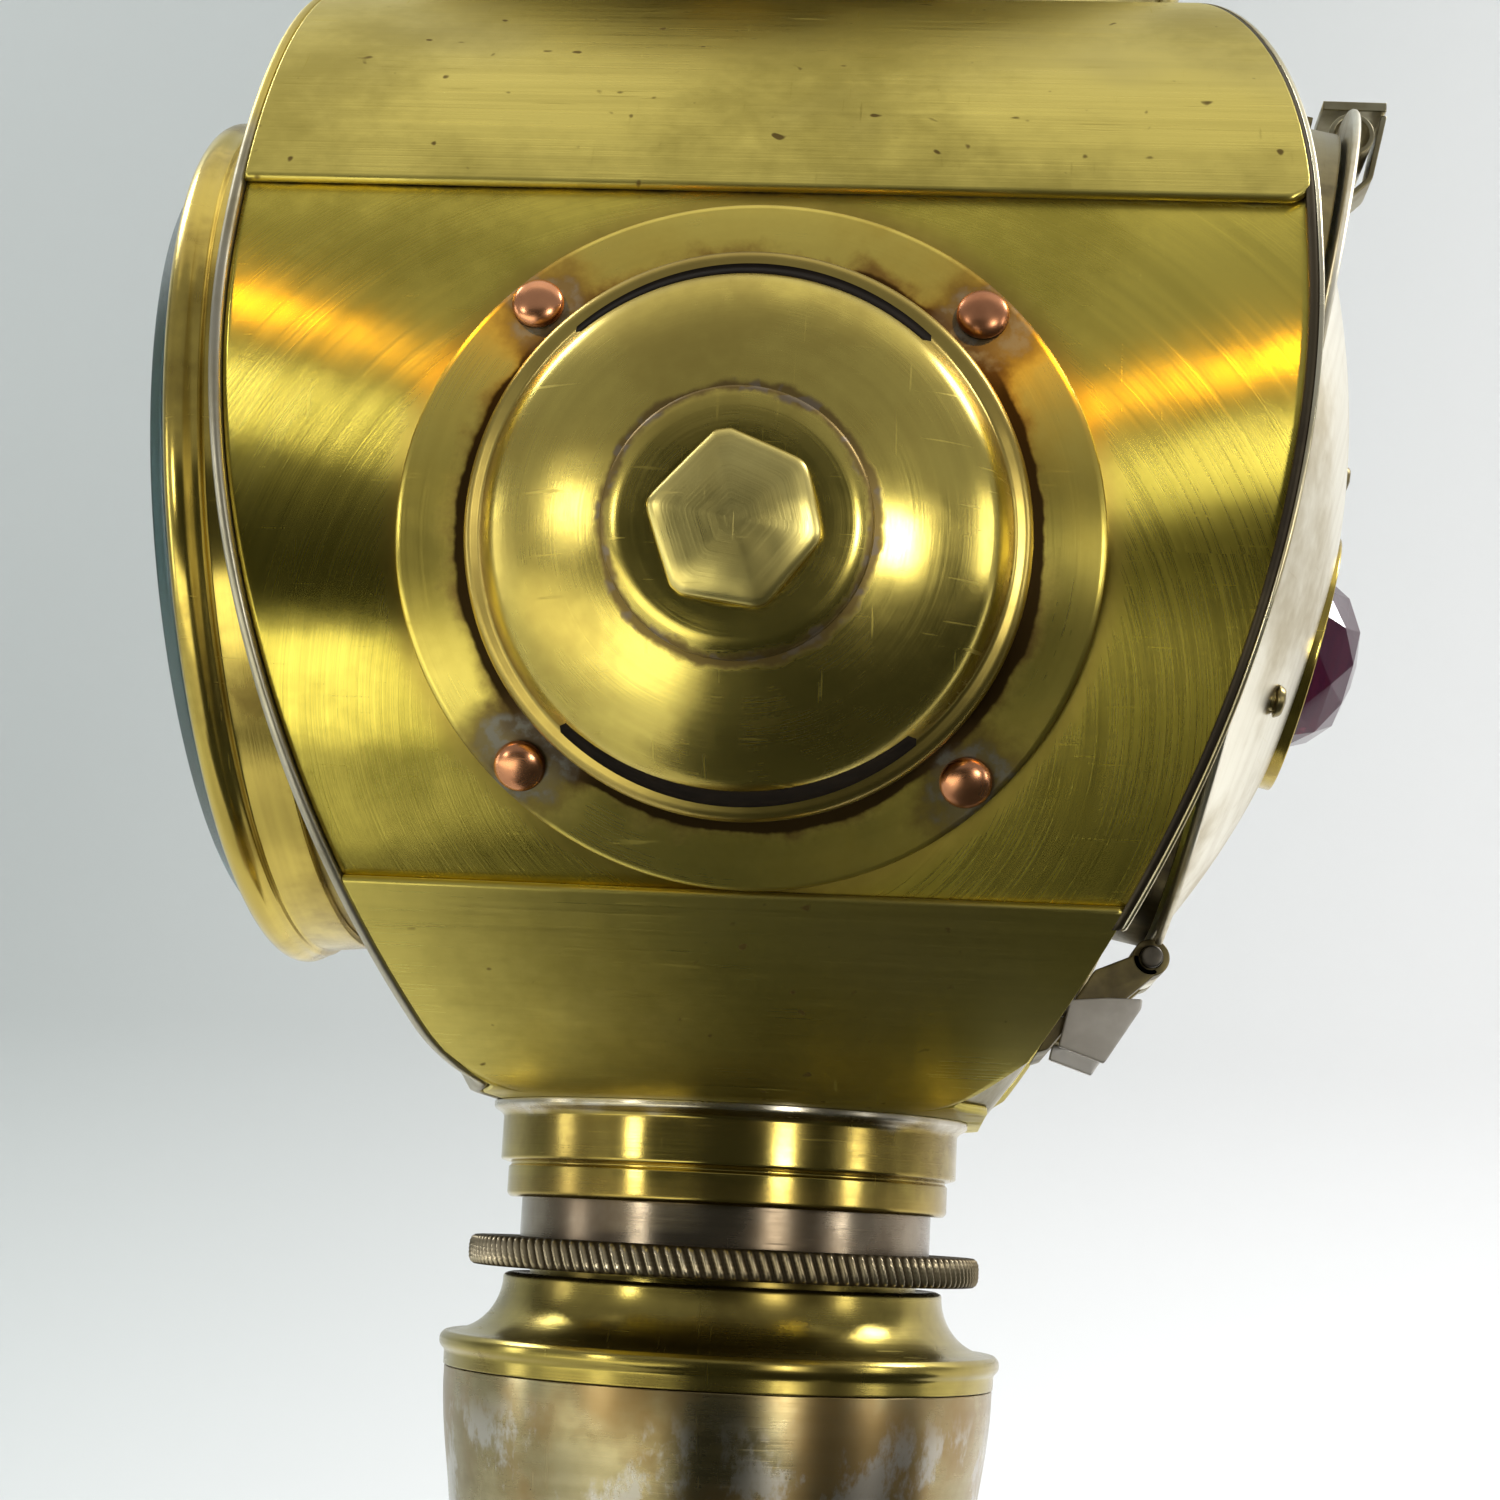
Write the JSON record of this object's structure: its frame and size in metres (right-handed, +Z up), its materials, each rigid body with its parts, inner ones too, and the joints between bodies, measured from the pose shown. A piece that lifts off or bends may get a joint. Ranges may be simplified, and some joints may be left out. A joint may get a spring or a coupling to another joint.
{
  "type": "candle signal lamp",
  "caption": "Brass candle lamp with a round drum head, bevelled lens, hinged rear door with a jewel, cowled chimney and a bottle-shaped sprung candle holder.",
  "frame": {"origin": "on the candle tube's axis at the flat face of its foot", "axes": "+X towards the rear door, -X towards the lens, +Z up along the candle tube to the chimney"},
  "size_m": [0.0674, 0.083, 0.1432],
  "materials": {
    "brass_sheet": "aged, scratched",
    "worn_brass": "mottled brown and silver",
    "dark_brass": "dark",
    "tinned_sheet": "dull tinned",
    "white_metal": "creamy satin",
    "nickel": "worn nickel",
    "copper": "satin copper",
    "silvered": "silvered",
    "steel_wire": "dark",
    "lens": "clear, bevelled",
    "jewel": "dark red purple",
    "wax": "wax",
    "wick": "charred cotton"
  },
  "bodies": {
    "head": {"near_side_sheet": "brass_sheet", "far_side_sheet": "brass_sheet", "roof_saddle": "brass_sheet", "bottom_saddle": "brass_sheet", "front_plate": "tinned_sheet", "front_collar": "brass_sheet", "bezel": "brass_sheet", "lens_glass": "lens", "lens_ring": "brass_sheet", "rear_plate": "tinned_sheet", "rear_collar": "brass_sheet", "catch_lug": "brass_sheet", "hinge_leaf": "dark_brass", "hinge_pin": "steel_wire", "near_vent_flange": "brass_sheet", "near_vent_dome": "brass_sheet", "near_vent_boss": "brass_sheet", "near_vent_stud": "dark_brass", "near_vent_rivets": "copper", "far_vent_flange": "brass_sheet", "far_vent_dome": "brass_sheet", "far_vent_boss": "brass_sheet", "far_vent_stud": "dark_brass", "far_vent_rivets": "copper", "chimney_tube": "brass_sheet", "cowl": "brass_sheet", "cowl_straps": "brass_sheet", "cowl_knob": "brass_sheet", "neck_collar": "brass_sheet"},
    "door": {"door_panel": "white_metal", "reflector": "silvered", "reflector_rivets": "dark_brass", "jewel_ring": "brass_sheet", "jewel": "jewel", "jewel_clip": "brass_sheet"},
    "latch": {"latch_hook": "white_metal", "latch_rivet": "dark_brass"},
    "holder": {"bottle_shoulder": "worn_brass", "candle_tube": "worn_brass", "tube_foot_cap": "worn_brass", "candle_spring": "steel_wire"},
    "cap": {"cap_sleeve": "nickel", "knurled_ring": "brass_sheet"},
    "candle": {"candle_follower": "brass_sheet", "candle": "wax", "wick": "wick"}
  },
  "joints": [
    {"name": "door_hinge", "type": "hinge", "parent": "head", "child": "door", "pos_m": [0.02259, 0, 0.07539], "axis": [0, 1, 0], "range_deg": [0, 100]},
    {"name": "latch_flex", "type": "hinge", "parent": "door", "child": "latch", "pos_m": [0.03219, 0, 0.11824], "axis": [0, 1, 0], "range_deg": [0, 12], "stiffness_Nm_per_rad": 0.02},
    {"name": "holder_slide", "type": "slide", "parent": "head", "child": "holder", "axis": [0, 0, -1], "range_m": [0, 0.022]},
    {"name": "cap_turn", "type": "hinge", "parent": "holder", "child": "cap", "pos_m": [0, 0, 0.0582], "axis": [0, 0, 1], "range_deg": [0, 40]},
    {"name": "candle_feed", "type": "slide", "parent": "holder", "child": "candle", "axis": [0, 0, -1], "range_m": [0, 0.012], "stiffness_N_per_m": 30, "springref_m": -0.02, "deforming": ["candle_spring"]}
  ]
}
